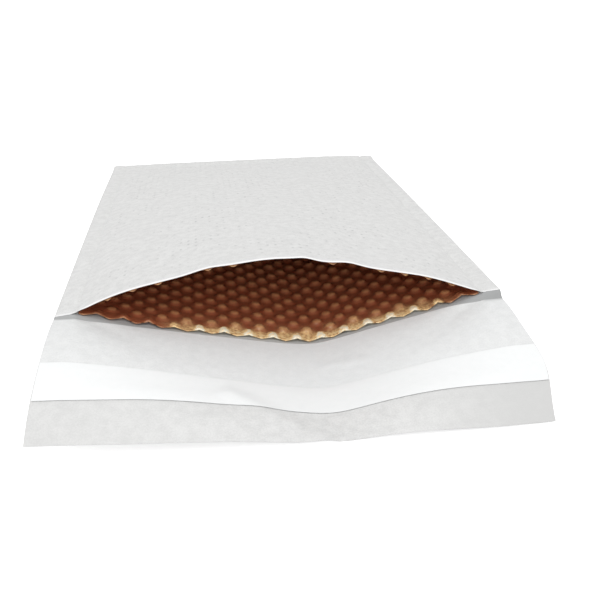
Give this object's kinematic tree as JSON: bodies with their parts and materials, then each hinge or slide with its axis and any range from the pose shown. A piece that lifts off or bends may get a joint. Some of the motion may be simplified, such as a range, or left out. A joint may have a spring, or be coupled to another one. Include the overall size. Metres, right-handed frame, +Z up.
{
  "type": "padded envelope",
  "caption": "White padded mailing envelope lying open: folded film outside, brown bubble film lining inside, and a flap with a glue strip under a peel-off liner.",
  "frame": {"origin": "on the table, under the middle of the whole envelope's outline with its flap laid forward", "axes": "+Y along the envelope from the mouth to the closed end, +X across it to the right seen from the flap, +Z up"},
  "size_m": [0.216, 0.386, 0.0438],
  "materials": {
    "white_film": "matt white film with a faint print-through of the bubbles",
    "brown_bubble_film": "glossy brown translucent bubble film",
    "clear_glue": "clear pressure-sensitive glue",
    "siliconised_paper": "smooth white release paper"
  },
  "bodies": {
    "root": {"outer_sheet": "white_film", "bubble_lining": "brown_bubble_film", "adhesive_strip": "clear_glue", "release_liner": "siliconised_paper"}
  },
  "joints": []
}
